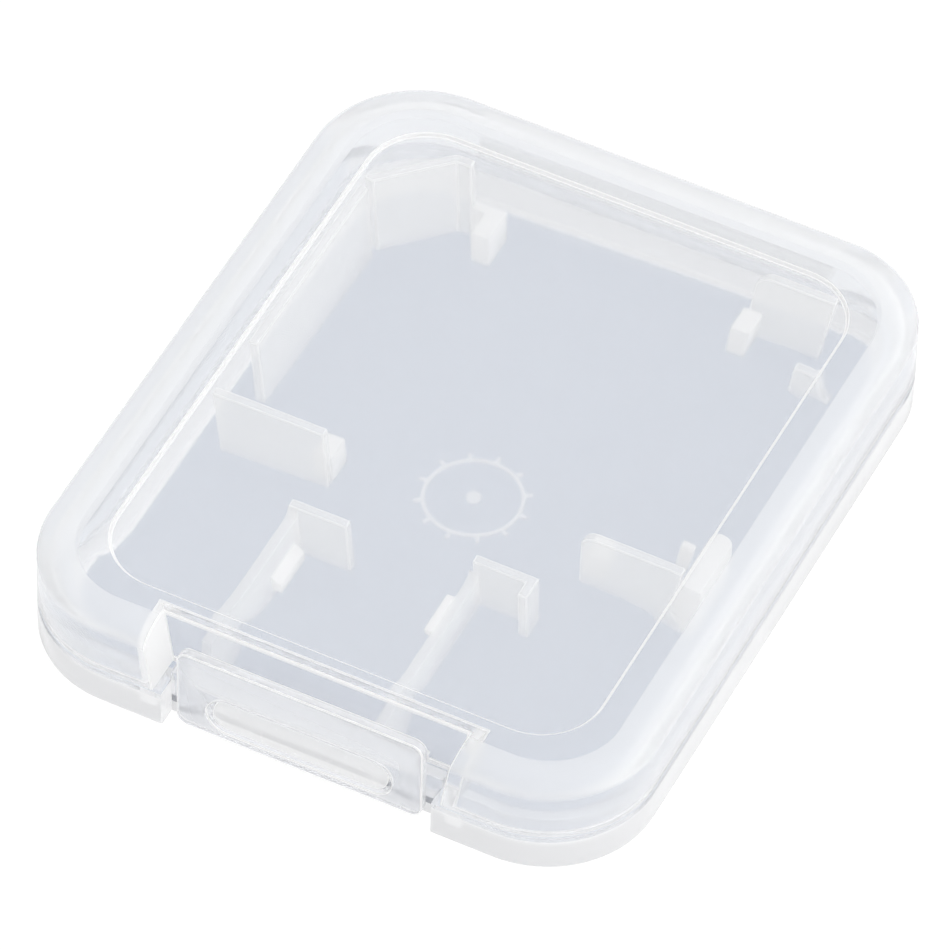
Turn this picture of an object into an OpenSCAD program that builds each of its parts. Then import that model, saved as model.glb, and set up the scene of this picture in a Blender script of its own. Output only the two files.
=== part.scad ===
// Memory card case in clear plastic, closed: a shallow base with card walls,
// a lid on a film hinge at the rear, and a sprung latch tab at the front.
// X runs along the front edge, Y to the hinge side, Z up. The origin is the
// centre of the underside.

/* [Case] */
// Distance from each side of the full-size bay to the side of the case
side_space = 4.8; // [4.5:0.1:7]
// Depth of the closed case, front face to hinge side
case_d = 50.8; // [50.2:0.2:58]
// Height of the closed case
case_h = 7.4; // [7.2:0.1:9]
// Corner radius seen from above
corner_r = 7.4; // [6:0.2:9]
// Thickness of the floor
floor_t = 0.9; // [0.7:0.1:1.1]
// Height of the parting line between base and lid
parting_z = 2.9; // [2.6:0.1:3.1]
// Gap between base rim and lid skirt at the parting line
parting_gap = 0.06; // [0.02:0.01:0.15]
// Bevel round the lower edge of the base
foot_bevel = 0.3; // [0.1:0.1:0.6]
// Thickness of the locating lip inside the rim
lip_t = 0.7; // [0.5:0.1:1]
// Height of the locating lip above the parting line
lip_h = 1; // [0.6:0.1:1.2]
// Clearance between the locating lip and the lid skirt
lip_gap = 0.25; // [0.22:0.01:0.4]

/* [Lid] */
// Thickness of the lid top, and height of its rounded shoulder
lid_t = 0.9; // [0.8:0.1:1.1]
// Width of the rounded shoulder
shoulder_w = 2.4; // [1.2:0.1:3]
// Thickness of the lid skirt
skirt_t = 1; // [0.8:0.1:1.2]
// Distance from the case edge to the sunk label panel
panel_margin = 4.2; // [3.4:0.1:6]
// Corner radius of the label panel
panel_r = 4.2; // [2:0.2:6]
// Depth of the label panel below the lid top
panel_depth = 0.25; // [0.1:0.05:0.4]

/* [Hinge] */
// Length of the film hinge along the rear edge
hinge_l = 25; // [18:0.5:26]
// Mean radius of the folded film
film_r = 0.35; // [0.3:0.05:0.45]
// Thickness of the film
film_t = 0.2; // [0.15:0.05:0.25]
// Gap between the hinge strips of base and lid
hinge_gap = 0.1; // [0.06:0.02:0.16]
// Gap at each end of the base hinge strip
hinge_end_gap = 0.2; // [0.1:0.05:0.4]

/* [Front latch] */
// Width of the latch tab
tab_w = 16.9; // [16:0.1:17.4]
// Gap between each end of the tab and the base rim
tab_end_gap = 0.85; // [0.5:0.05:1]
// Step from each end of the base notch to the end of the lid notch
notch_step = 0.55; // [0.3:0.05:0.8]
// Sideways lean of each notch side over one millimetre of height
notch_lean = 0.145; // [0:0.005:0.2]
// Depth of the lid notch behind the front face
notch_depth = 2.7; // [2.6:0.1:3.2]
// Thickness of the lid wall at the back of the notch
recess_wall_t = 1; // [0.7:0.1:1.1]
// Thickness of the lid cheeks beside the notch
cheek_t = 0.9; // [0.7:0.1:1.2]
// Thickness of the latch tab
tab_t = 0.7; // [0.6:0.02:0.76]
// Distance of the tab face behind the front face of the case
tab_inset = 0.44; // [0.3:0.02:0.52]
// Height of the lower edge of the tab
tab_z0 = 0.5; // [0.3:0.05:0.6]
// Distance of the upper edge of the tab below the lid top
tab_top_gap = 0.4; // [0.1:0.05:0.6]
// Corner radius of the tab
tab_r = 0.8; // [0.4:0.1:1.1]
// Clearance between the tab and the base wall behind it
tab_gap = 0.3; // [0.22:0.02:0.36]
// Distance from each end of the tab to its window
window_side = 2.1; // [1.7:0.1:3]
// Height of the window in the tab
window_h = 2.8; // [2.4:0.1:3]
// Height of the centre of the window
window_z = 2.5; // [2.4:0.05:2.6]
// Clearance between window and lug, all round
lug_gap = 0.3; // [0.28:0.02:0.4]
// Distance of the lug face behind the tab face
lug_inset = 0.1; // [0.04:0.02:0.3]
// Height over which the lug face is full, above its lower edge
lug_land = 0.7; // [0.4:0.1:1.2]
// Thickness of the base wall behind the tab
front_wall_t = 0.8; // [0.6:0.05:0.82]
// Thickness of the flexing web that carries the tab
web_t = 0.35; // [0.25:0.05:0.4]
// Height of the web above the base wall behind the tab
web_gap = 0.26; // [0.2:0.02:0.36]
// Inset of each end of the web from the end of the tab
web_inset = 0.6; // [0.3:0.1:2]

/* [Card walls] */
// Thickness of the upright walls
wall_t = 0.67; // [0.55:0.02:0.8]
// Gap between the tall walls and the lid
wall_lid_gap = 0.2; // [0.15:0.05:0.4]
// Gap between the small card walls and the lid wall behind the latch
wall_front_gap = 0.2; // [0.15:0.05:0.4]

/* [Full-size card bay] */
// Width of the bay across the case
bay_w = 32.2; // [32.1:0.1:32.8]
// Depth of the bay
bay_d = 24.3; // [24.1:0.1:24.8]
// Distance from the rear of the bay to the rear face of the case
bay_rear = 5.2; // [4.8:0.1:5.6]
// Sideways offset of the bay from the centre line
bay_shift = 0.1; // [0:0.05:0.2]
// Height of the card ledges above the floor
ledge_h = 2.35; // [1.8:0.05:2.8]
// Width of the card ledges
ledge_w = 1.35; // [1:0.05:1.5]
// Reach of the front ledges into the bay
front_ledge_l = 2; // [1.5:0.1:3]
// Reach of the rear ledges into the bay
rear_ledge_l = 2.15; // [1.5:0.1:3]
// Distance from each side of the bay to the finger gap between the front stops
stop_l = 7.1; // [6.6:0.1:7.6]
// Distance from each side of the bay to the gap between the rear ledges
rear_stop_l = 7.25; // [6.6:0.05:7.6]
// Sideways offset of both gaps from the centre of the bay
gap_shift = 0.1; // [0:0.05:0.3]
// Radius of the upper inner corner of the right stop
stop_corner_r = 1; // [0.3:0.1:1.5]
// Start of the rear right wall, from the inner face of its ledge
rear_wall_start = 0.35; // [0:0.05:0.9]
// Length of the low link between the rear left ledge and its wall
link_l = 1; // [0.6:0.1:2]
// Size of the corner wall that follows the card's cut corner
cut_corner = 4; // [3:0.1:4.3]
// Front end of the left side wall, from the front of the bay
side_wall_start = 4.3; // [3:0.1:8]
// Distance of the rear right wall's end from the bay corner
rear_wall_end = 1.3; // [0.5:0.1:3]
// Length of the right side block
side_block_l = 4.4; // [3:0.1:6]
// Width of the right side block
side_block_w = 1.25; // [0.8:0.05:1.4]
// Height of the right side block above the floor
side_block_h = 4.3; // [3.5:0.1:4.9]
// Length of the low peg at the right side
peg_l = 1; // [0.8:0.1:1.6]
// Depth of the peg
peg_d = 0.7; // [0.5:0.05:1.2]
// Height of the peg above the floor
peg_h = 2.2; // [1.8:0.05:2.8]
// Distance of the peg from the front of the bay
peg_y = 3.75; // [2.2:0.05:5]
// Gap between the peg and the right side of the bay
peg_side_gap = 0.8; // [0.4:0.05:1.5]
// Length of the low rib from the right side of the bay
rib_l = 1.9; // [1:0.1:2.5]
// Distance of the low rib from the rear of the bay
rib_rear = 2.9; // [2.5:0.1:6]

/* [Small card bay] */
// Width of the bay across the case
small_w = 15.27; // [15.1:0.01:15.6]
// Distance of the left side of the bay from the centre line
small_left = 7.585; // [7.3:0.005:7.8]
// Distance of the rear side of the bay from the front face of the case
small_rear = 15.87; // [15.5:0.01:16.4]
// Step in the rear side, for the narrow end of the card
small_step = 1.13; // [0.8:0.01:1.3]
// Height of the tall walls above the floor
small_wall_h = 5; // [4.2:0.05:5.2]
// Drop of the left wall's top below the rear walls
small_drop = 0.75; // [0.4:0.05:1]
// Size of the ramp that joins each side wall to its rear wall
ramp = 0.75; // [0.4:0.05:1]
// Length of the rear left wall from the left side of the bay
small_rear_left_l = 3.39; // [2:0.01:5]
// Height at which the small card rests above the floor
small_rest_h = 3.1; // [2.6:0.1:3.4]
// Distance of the low rail from the left side of the bay
rail_x = 11.33; // [10:0.01:12]
// Distance of the rear right wall's end from the low rail's left face
rear_right_start = 0.26; // [0:0.02:0.6]
// Height of the wall feet that run on to the front wall
foot_h = 1.8; // [1.2:0.1:1.85]
// Width of the pads on the rails
pad_w = 0.56; // [0.4:0.02:0.8]
// Length of the pads on the rails
pad_l = 3.25; // [2:0.05:5]
// Thickness of the pads at the rail
pad_t = 0.9; // [0.6:0.05:1.2]
// Distance of the left pad's top below the right pad's
pad_drop = 0.85; // [0:0.05:1]
// Width of the left pad, whose top slopes down from the wall
slope_w = 0.64; // [0.4:0.02:0.8]
// Distance of the pads from the rear side of the bay
pad_rear = 1.95; // [1.3:0.05:4]

/* [Floor mark] */
// Outer radius of the moulded ring on the floor
mark_r = 3.9; // [2:0.1:5]
// Distance of the ring's centre from the front of the full-size bay
mark_y = 2.6; // [-0.5:0.1:12]
// Height of the ring above the floor
mark_h = 0.12; // [0.05:0.01:0.2]
// Line width of the ring
mark_line = 0.25; // [0.15:0.05:0.4]
// Number of strokes round the ring
mark_strokes = 12; // [6:1:16]

/* [Hidden] */
$fn = 64;
eps = 1;

// Outer faces and heights of the shell
case_w = bay_w + 2 * side_space;
front_y = -case_d / 2;
rear_y = case_d / 2;
rim_t = skirt_t + lip_gap;
lid_under = case_h - lid_t;
skirt_z = parting_z + parting_gap;
hinge_z = case_h / 2;
wall_top = lid_under - wall_lid_gap;

// Latch zone, from side to side and from front to back
base_notch_w = tab_w + 2 * tab_end_gap;
notch_w = base_notch_w + 2 * notch_step;
window_w = tab_w - 2 * window_side;
notch_y = front_y + notch_depth;
tab_y0 = front_y + tab_inset;
tab_y1 = tab_y0 + tab_t;
front_wall_y0 = tab_y1 + tab_gap;
front_wall_y1 = front_wall_y0 + front_wall_t;
window_z0 = window_z - window_h / 2;
window_z1 = window_z + window_h / 2;
lug_z0 = window_z0 + lug_gap;
lug_z1 = window_z1 - lug_gap;
web_z0 = lug_z1 + web_gap;
lug_y = tab_y0 + lug_inset;

// Bays
bay_x0 = bay_shift - bay_w / 2;
bay_x1 = bay_shift + bay_w / 2;
bay_y1 = rear_y - bay_rear;
bay_y0 = bay_y1 - bay_d;
ledge_z = floor_t + ledge_h;
peg_z = floor_t + peg_h;
finger_x0 = bay_x0 + stop_l + gap_shift;
finger_x1 = bay_x1 - stop_l + gap_shift;
rear_gap_x0 = bay_x0 + rear_stop_l + gap_shift;
rear_gap_x1 = bay_x1 - rear_stop_l + gap_shift;
rear_left_x0 = rear_gap_x0 - ledge_w - link_l;
small_x0 = -small_left;
small_x1 = small_x0 + small_w;
small_y1 = front_y + small_rear;
small_step_y = small_y1 - small_step;
small_top = min(floor_t + small_wall_h, wall_top);
small_side_top = small_top - small_drop;
rest_z = floor_t + small_rest_h;
rail_x0 = small_x0 + rail_x;
tall_front_y = notch_y + recess_wall_t + wall_front_gap;
pad_y1 = small_y1 - pad_rear;
pad_y0 = pad_y1 - pad_l;

function notch_half(z) = notch_w / 2 + notch_lean * (z - skirt_z);

// Upright block standing between two corners
module block(x0, x1, y0, y1, z0, z1) {
    translate([x0, y0, z0]) cube([x1 - x0, y1 - y0, z1 - z0]);
}

// Rectangle with round corners
module outline(w, d, r) {
    square([w - 2 * r, d], center = true);
    square([w, d - 2 * r], center = true);
    for (sx = [-1, 1], sy = [-1, 1])
        translate([sx * (w / 2 - r), sy * (d / 2 - r)]) circle(r = r);
}

// Wall of thickness t just inside the case outline, moved in by inset
module ring_wall(inset, t, z0, z1) {
    translate([0, 0, z0]) difference() {
        linear_extrude(z1 - z0)
            outline(case_w - 2 * inset, case_d - 2 * inset, corner_r - inset);
        translate([0, 0, -eps]) linear_extrude(z1 - z0 + 2 * eps)
            outline(case_w - 2 * (inset + t), case_d - 2 * (inset + t), corner_r - inset - t);
    }
}

// Slab with the case outline, whose edge follows a list of [inset, height] points
module edged_slab(edge) {
    last = len(edge) - 1;
    core = [[0, edge[last][1]], [0, edge[0][1]]];
    for (sx = [-1, 1], sy = [-1, 1])
        translate([sx * (case_w / 2 - corner_r), sy * (case_d / 2 - corner_r), 0])
            rotate_extrude() polygon(concat([for (p = edge) [corner_r - p[0], p[1]]], core));
    rotate([90, 0, 90]) linear_extrude(case_w - 2 * corner_r, center = true)
        side_profile(edge, case_d / 2);
    rotate([90, 0, 0]) linear_extrude(case_d - 2 * corner_r, center = true)
        side_profile(edge, case_w / 2);
}

module side_profile(edge, half) {
    last = len(edge) - 1;
    right = [for (p = edge) [half - p[0], p[1]]];
    left = [for (i = [last : -1 : 0]) [edge[i][0] - half, edge[i][1]]];
    polygon(concat(right, left));
}

// Rectangle between two corners, its upper left corner rounded
module round_plate(x0, x1, z0, z1, r) {
    translate([x0, z0]) square([x1 - x0, z1 - z0 - r]);
    translate([x0 + r, z0]) square([x1 - x0 - r, z1 - z0]);
    translate([x0 + r, z1 - r]) circle(r = r);
}

// Outline in X and Z, extruded along Y from y0 to y1
module along_y(y0, y1) {
    translate([0, y1, 0]) rotate([90, 0, 0]) linear_extrude(y1 - y0) children();
}

// Outline in Y and Z, extruded along X from x0 to x1
module along_x(x0, x1) {
    translate([x0, 0, 0]) rotate([90, 0, 90]) linear_extrude(x1 - x0) children();
}

// Space of the lid notch, open to the front, wider at the top
module notch_space() {
    z0 = parting_z - eps;
    z1 = case_h + eps;
    along_y(front_y - eps, notch_y)
        polygon([[-notch_half(z0), z0], [notch_half(z0), z0], [notch_half(z1), z1], [-notch_half(z1), z1]]);
}

module base_floor() {
    color("gainsboro") difference() {
        edged_slab([[foot_bevel, 0], [0, foot_bevel], [0, floor_t]]);
        block(-base_notch_w / 2, base_notch_w / 2, front_y - eps, front_wall_y0, -eps, floor_t + eps);
    }
}

module base_rim() {
    color("whitesmoke") difference() {
        ring_wall(0, rim_t, floor_t, parting_z);
        block(-base_notch_w / 2, base_notch_w / 2, front_y - eps, front_y + rim_t + eps,
            floor_t - eps, parting_z + eps);
    }
}

module base_lip() {
    end_x = notch_half(parting_z + lip_h) + cheek_t + lip_gap;
    color("whitesmoke") difference() {
        ring_wall(rim_t, lip_t, floor_t, parting_z + lip_h);
        block(-end_x, end_x, front_y, front_y + rim_t + lip_t + eps,
            floor_t - eps, parting_z + lip_h + eps);
    }
}

// Wall behind the latch tab, with returns to the ends of the rim
module base_latch_wall() {
    half = base_notch_w / 2;
    color("whitesmoke") {
        block(-half, half, front_wall_y0, front_wall_y1, floor_t, lug_z1);
        for (side = [-1, 1])
            translate([side * (half + front_wall_t / 2), 0, 0])
                block(-front_wall_t / 2, front_wall_t / 2, front_y + rim_t, front_wall_y1,
                    floor_t, parting_z);
    }
}

// Lug with a sloped lead-in and round ends that snaps into the window of the tab
module latch_lug() {
    half = window_w / 2 - lug_gap;
    lug_h = lug_z1 - lug_z0;
    nose = lug_z0 + lug_land;
    color("white") intersection() {
        along_x(-half, half)
            polygon([[front_wall_y0, lug_z0], [lug_y, lug_z0], [lug_y, nose],
                [front_wall_y0 - tab_gap, lug_z1], [front_wall_y0, lug_z1]]);
        along_y(lug_y, front_wall_y0)
            translate([0, window_z]) outline(2 * half, lug_h, lug_h / 2 - 0.01);
    }
}

module base_hinge_strip() {
    color("whitesmoke")
        block(-hinge_l / 2, hinge_l / 2, rear_y - skirt_t, rear_y, parting_z, hinge_z - hinge_gap / 2);
}

// Film hinge, folded into a half ring behind the rear face
module hinge_film() {
    color("white") along_x(-hinge_l / 2, hinge_l / 2)
        difference() {
            translate([rear_y, hinge_z]) circle(r = film_r + film_t / 2);
            translate([rear_y, hinge_z]) circle(r = film_r - film_t / 2);
            translate([rear_y - eps, hinge_z - eps]) square([eps, 2 * eps]);
        }
}

module card_stop_left() {
    color("white")
        block(bay_x0 - wall_t, finger_x0, bay_y0 - wall_t, bay_y0, floor_t, wall_top);
}

module card_stop_right() {
    color("white") along_y(bay_y0 - wall_t, bay_y0)
        round_plate(finger_x1, bay_x1, floor_t, wall_top, stop_corner_r);
}

module card_side_wall_left() {
    color("white")
        block(bay_x0 - wall_t, bay_x0, bay_y0 + side_wall_start, bay_y1 - cut_corner - wall_t,
            floor_t, wall_top);
}

module card_side_block_right() {
    color("white") {
        block(bay_x1, bay_x1 + side_block_w, bay_y0 - wall_t,
            bay_y0 - wall_t + side_block_l, floor_t, floor_t + side_block_h);
        translate([bay_x1 + side_block_w / 2, bay_y0 - wall_t + side_block_l, floor_t])
            cylinder(r = side_block_w / 2, h = side_block_h);
    }
}

// Wall across the card's cut corner and along the rear of the bay
module card_corner_wall() {
    slant = wall_t * (sqrt(2) - 1);
    color("white") translate([0, 0, floor_t]) linear_extrude(wall_top - floor_t)
        polygon([
            [bay_x0, bay_y1 - cut_corner], [bay_x0 + cut_corner, bay_y1],
            [rear_left_x0, bay_y1], [rear_left_x0, bay_y1 + wall_t],
            [bay_x0 + cut_corner - slant, bay_y1 + wall_t],
            [bay_x0 - wall_t, bay_y1 - cut_corner + slant], [bay_x0 - wall_t, bay_y1 - cut_corner]
        ]);
}

module card_rear_wall_right() {
    color("white") along_y(bay_y1, bay_y1 + wall_t)
        round_plate(rear_gap_x1 + rear_wall_start, bay_x1 - rear_wall_end, floor_t, wall_top, stop_corner_r);
}

module card_ledge_front_left() {
    color("white")
        block(finger_x0 - ledge_w, finger_x0, bay_y0, bay_y0 + front_ledge_l, floor_t, ledge_z);
}

module card_ledge_front_right() {
    color("white")
        block(finger_x1, finger_x1 + ledge_w, bay_y0, bay_y0 + front_ledge_l, floor_t, ledge_z);
}

module card_ledge_rear_left() {
    x0 = rear_gap_x0 - ledge_w;
    color("white") {
        block(x0, rear_gap_x0, bay_y1 - rear_ledge_l, bay_y1 + wall_t, floor_t, ledge_z);
        block(rear_left_x0, x0, bay_y1, bay_y1 + wall_t, floor_t, ledge_z);
    }
}

module card_ledge_rear_right() {
    color("white")
        block(rear_gap_x1, rear_gap_x1 + ledge_w, bay_y1 - rear_ledge_l, bay_y1, floor_t, ledge_z);
}

module card_peg_right() {
    x1 = bay_x1 - peg_side_gap;
    y0 = bay_y0 + peg_y;
    color("white") {
        block(x1 - peg_l, x1, y0, y0 + peg_d, floor_t, peg_z - peg_d / 2);
        translate([x1 - peg_l, y0 + peg_d / 2, peg_z - peg_d / 2])
            rotate([0, 90, 0]) cylinder(r = peg_d / 2, h = peg_l);
    }
}

module card_rib_right() {
    y1 = bay_y1 - rib_rear;
    color("white") block(bay_x1 - rib_l, bay_x1, y1 - wall_t, y1, floor_t, ledge_z);
}

// Side of a wall that is low where it runs under the lid wall behind the latch,
// with a hollow ramp up to the rear wall
module stepped_side(y1, top) {
    low = floor_t + foot_h;
    polygon([[front_wall_y1, floor_t], [y1, floor_t], [y1, top + ramp], [y1 - 0.1 * ramp, top + ramp],
        [y1 - 0.25 * ramp, top + 0.5 * ramp], [y1 - 0.5 * ramp, top + 0.2 * ramp], [y1 - ramp, top],
        [tall_front_y, top], [tall_front_y, low], [front_wall_y1, low]]);
}

module small_card_left_wall() {
    color("white") along_x(small_x0 - wall_t, small_x0) stepped_side(small_step_y, small_side_top);
}

module small_card_rail() {
    color("white") along_x(rail_x0, rail_x0 + wall_t) stepped_side(small_y1, rest_z);
}

// Pad of the left wall that guides the card's left end
module small_card_left_pad() {
    top = rest_z - pad_drop;
    color("white") along_y(pad_y0, pad_y1)
        polygon([[small_x0, top - pad_t - slope_w], [small_x0 + slope_w, top - pad_t],
            [small_x0 + slope_w, top - slope_w], [small_x0, top]]);
}

module small_card_rail_pad() {
    color("white") along_y(pad_y0, pad_y1)
        polygon([[rail_x0, rest_z - pad_t], [rail_x0, rest_z], [rail_x0 - pad_w, rest_z],
            [rail_x0 - pad_w, rest_z - pad_t / 2]]);
}

module small_card_rear_wall_left() {
    color("white")
        block(small_x0 - wall_t, small_x0 + small_rear_left_l, small_step_y, small_step_y + wall_t,
            floor_t, small_top);
}

// Rear wall with a return at the card's right end
module small_card_rear_wall_right() {
    color("white") {
        block(rail_x0 + rear_right_start, small_x1 + wall_t, small_y1, small_y1 + wall_t,
            floor_t, small_top);
        block(small_x1, small_x1 + wall_t, small_step_y, small_y1, floor_t, small_top);
    }
}

// Plain ring with strokes, in the place of a moulding mark
module mould_mark() {
    color("white") translate([0, bay_y0 + mark_y, floor_t]) {
        difference() {
            cylinder(r = mark_r - 2 * mark_line, h = mark_h);
            translate([0, 0, -eps]) cylinder(r = mark_r - 3 * mark_line, h = mark_h + 2 * eps);
        }
        for (i = [0 : mark_strokes - 1])
            rotate([0, 0, i * 360 / mark_strokes])
                translate([mark_r - 2.5 * mark_line, -mark_line / 2, 0])
                    cube([2.5 * mark_line, mark_line, mark_h]);
        cylinder(r = 2 * mark_line, h = mark_h);
    }
}

// Lid plate round the panel, with a quarter-ellipse shoulder
module lid_top() {
    shoulder = [for (a = [0 : 15 : 90]) [shoulder_w * (1 - cos(a)), lid_under + lid_t * sin(a)]];
    color("whitesmoke") difference() {
        edged_slab(shoulder);
        translate([0, 0, lid_under - eps]) linear_extrude(lid_t + 2 * eps) panel_outline();
        notch_space();
    }
}

module panel_outline() {
    outline(case_w - 2 * panel_margin, case_d - 2 * panel_margin, panel_r);
}

module lid_panel() {
    color("aliceblue") translate([0, 0, lid_under])
        linear_extrude(lid_t - panel_depth) panel_outline();
}

module lid_skirt() {
    half = hinge_l / 2 + hinge_end_gap;
    color("whitesmoke") difference() {
        ring_wall(0, skirt_t, skirt_z, lid_under);
        notch_space();
        block(-half, half, rear_y - skirt_t - eps, rear_y + eps, skirt_z - eps, hinge_z + hinge_gap / 2);
    }
}

// Lid wall at the back of the notch
module lid_latch_wall() {
    low = notch_half(skirt_z) + cheek_t;
    high = notch_half(lid_under) + cheek_t;
    color("whitesmoke") along_y(notch_y, notch_y + recess_wall_t)
        polygon([[-low, skirt_z], [low, skirt_z], [high, lid_under], [-high, lid_under]]);
}

// Leaning wall between the skirt and the wall at the back of the notch
module lid_cheek(side) {
    low = notch_half(skirt_z);
    high = notch_half(lid_under);
    color("white") along_y(front_y + skirt_t, notch_y)
        polygon([[side * low, skirt_z], [side * (low + cheek_t), skirt_z],
            [side * (high + cheek_t), lid_under], [side * high, lid_under]]);
}

module lid_cheek_left() {
    lid_cheek(-1);
}

module lid_cheek_right() {
    lid_cheek(1);
}

module latch_web() {
    half = tab_w / 2 - web_inset;
    color("white") block(-half, half, tab_y1, notch_y, web_z0, web_z0 + web_t);
}

// Sprung tab with a window for the lug
module latch_tab() {
    z1 = case_h - tab_top_gap;
    color("whitesmoke") difference() {
        along_y(tab_y0, tab_y1)
            translate([0, (tab_z0 + z1) / 2]) outline(tab_w, z1 - tab_z0, tab_r);
        along_y(tab_y0 - eps, tab_y1 + eps)
            translate([0, window_z]) outline(window_w, window_h, window_h / 2 - 0.01);
    }
}

base_floor();
base_rim();
base_lip();
base_latch_wall();
latch_lug();
base_hinge_strip();
hinge_film();
card_stop_left();
card_stop_right();
card_side_wall_left();
card_side_block_right();
card_corner_wall();
card_rear_wall_right();
card_ledge_front_left();
card_ledge_front_right();
card_ledge_rear_left();
card_ledge_rear_right();
card_peg_right();
card_rib_right();
small_card_left_wall();
small_card_left_pad();
small_card_rail();
small_card_rail_pad();
small_card_rear_wall_left();
small_card_rear_wall_right();
mould_mark();
lid_top();
lid_panel();
lid_skirt();
lid_latch_wall();
lid_cheek_left();
lid_cheek_right();
latch_web();
latch_tab();
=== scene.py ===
# %% [markdown]
# # A clear memory card case
#
# The real object is a flat case in milky polypropylene: a tray with walls that
# hold the cards, a lid on a thin bending strip, and a latch tab at the front.
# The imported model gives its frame. Every piece below is shaped in metres in that
# frame: X along the front edge, Y towards the hinge, Z up.

# %% Load the frame
import math

import bmesh
import bpy
from mathutils import Matrix, Vector


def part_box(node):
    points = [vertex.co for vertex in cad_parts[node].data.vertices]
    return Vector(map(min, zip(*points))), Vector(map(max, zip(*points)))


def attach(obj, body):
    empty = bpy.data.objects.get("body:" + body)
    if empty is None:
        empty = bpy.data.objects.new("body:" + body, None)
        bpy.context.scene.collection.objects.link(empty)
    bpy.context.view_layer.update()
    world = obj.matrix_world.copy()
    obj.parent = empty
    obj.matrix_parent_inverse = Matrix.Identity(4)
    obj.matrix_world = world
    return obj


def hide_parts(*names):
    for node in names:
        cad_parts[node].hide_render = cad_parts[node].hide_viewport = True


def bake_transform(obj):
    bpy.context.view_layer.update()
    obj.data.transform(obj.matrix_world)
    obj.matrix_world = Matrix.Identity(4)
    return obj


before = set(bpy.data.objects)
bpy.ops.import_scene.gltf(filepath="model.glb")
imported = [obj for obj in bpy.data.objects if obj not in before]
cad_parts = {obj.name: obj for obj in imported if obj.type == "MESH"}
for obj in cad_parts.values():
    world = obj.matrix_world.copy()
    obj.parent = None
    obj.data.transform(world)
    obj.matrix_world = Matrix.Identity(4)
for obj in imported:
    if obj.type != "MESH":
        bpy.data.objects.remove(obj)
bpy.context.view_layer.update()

MM = 0.001

# %% [markdown]
# The sizes that several pieces share are read from the CAD nodes, in
# millimetres, so that a wall stays where its solid is. SINK is how far a piece
# stands inside its neighbour, so that no two faces lie on each other. Tools that
# cut reach from below the table to TOP_OF_ALL.

# %% Read the shared sizes
def node_box(name):
    """The lowest and highest corner of a CAD node, in millimetres."""
    low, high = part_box(name)
    return [v / MM for v in low], [v / MM for v in high]


FLOOR_LOW, FLOOR_HIGH = node_box("base_floor")
HALF_W = FLOOR_HIGH[0]
HALF_D = -FLOOR_LOW[1]
FLOOR_Z = FLOOR_HIGH[2]
RIM_Z = node_box("base_rim")[1][2]
LIP_Z = node_box("base_lip")[1][2]
LID_Z = node_box("lid_top")[1][2]
SKIRT_Z = node_box("lid_skirt")[0][2]
UNDER_Z = node_box("lid_panel")[0][2]
PANEL_Z = node_box("lid_panel")[1][2]
CORNER_R = 7.4
SINK = 0.05
TOP_OF_ALL = 9
SMOOTH_ANGLE = 30
print("case", 2 * HALF_W, "x", 2 * HALF_D, "x", LID_Z)

# %% [markdown]
# Most pieces start as a block that is put at its size and place. Faces and edges
# are then picked by where they lie, and shaped with the tools of edit mode. The
# helpers here do the picking and the few steps that come again and again.

# %% Helpers for shaping
def add_block(name, low, high):
    """A box between two corners given in millimetres, its origin at the frame's."""
    bpy.ops.object.select_all(action="DESELECT")
    middle = [(a + b) / 2 * MM for a, b in zip(low, high)]
    bpy.ops.mesh.primitive_cube_add(size=1, location=middle)
    piece = bpy.context.active_object
    piece.name = piece.data.name = name
    piece.scale = [(b - a) * MM for a, b in zip(low, high)]
    bpy.ops.object.transform_apply(location=True, rotation=True, scale=True)
    return piece


def add_prism(name, outline, axis, start, end):
    """A prism over an outline of points in millimetres, along the axis x, y or z."""
    place = {
        "x": lambda u, v, w: (w, u, v),
        "y": lambda u, v, w: (u, w, v),
        "z": lambda u, v, w: (u, v, w),
    }[axis]
    bpy.ops.object.select_all(action="DESELECT")
    bpy.ops.mesh.primitive_circle_add(vertices=len(outline), radius=MM, fill_type="NGON")
    piece = bpy.context.active_object
    piece.name = piece.data.name = name
    for corner, (u, v) in zip(piece.data.vertices, outline):
        corner.co = [c * MM for c in place(u, v, start)]
    bpy.ops.object.mode_set(mode="EDIT")
    bpy.ops.mesh.select_all(action="SELECT")
    move = [(c - d) * MM for c, d in zip(place(0, 0, end), place(0, 0, start))]
    bpy.ops.mesh.extrude_region_move(TRANSFORM_OT_translate={"value": move})
    bpy.ops.mesh.select_all(action="SELECT")
    bpy.ops.mesh.normals_make_consistent(inside=False)
    bpy.ops.object.mode_set(mode="OBJECT")
    return piece


def pick(piece, kind, test):
    """Goes into edit mode and selects the edges or faces for which test is true."""
    bpy.ops.object.select_all(action="DESELECT")
    bpy.context.view_layer.objects.active = piece
    piece.select_set(True)
    bpy.ops.object.mode_set(mode="EDIT")
    bpy.ops.mesh.select_mode(type=kind)
    bpy.ops.mesh.select_all(action="DESELECT")
    mesh = bmesh.from_edit_mesh(piece.data)
    for part in mesh.edges if kind == "EDGE" else mesh.faces:
        if test([v.co / MM for v in part.verts]):
            part.select_set(True)
    bmesh.update_edit_mesh(piece.data)


def upright(corners):
    """True for an edge that stands straight up."""
    a, b = corners
    return abs(a.x - b.x) < 0.01 and abs(a.y - b.y) < 0.01


def all_at_height(z):
    """A test for edges or faces that lie flat at a height."""
    return lambda corners: all(abs(c.z - z) < 0.01 for c in corners)


def along_y(corners):
    """True for an edge that runs from front to rear."""
    a, b = corners
    return abs(a.x - b.x) < 0.01 and abs(a.z - b.z) < 0.01


def round_edges(piece, test, radius, segments):
    """Rounds the edges for which test is true, to a radius in millimetres."""
    pick(piece, "EDGE", test)
    bpy.ops.mesh.bevel(
        offset=radius * MM, segments=segments, affect="EDGES", clamp_overlap=False)
    bpy.ops.object.mode_set(mode="OBJECT")


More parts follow.
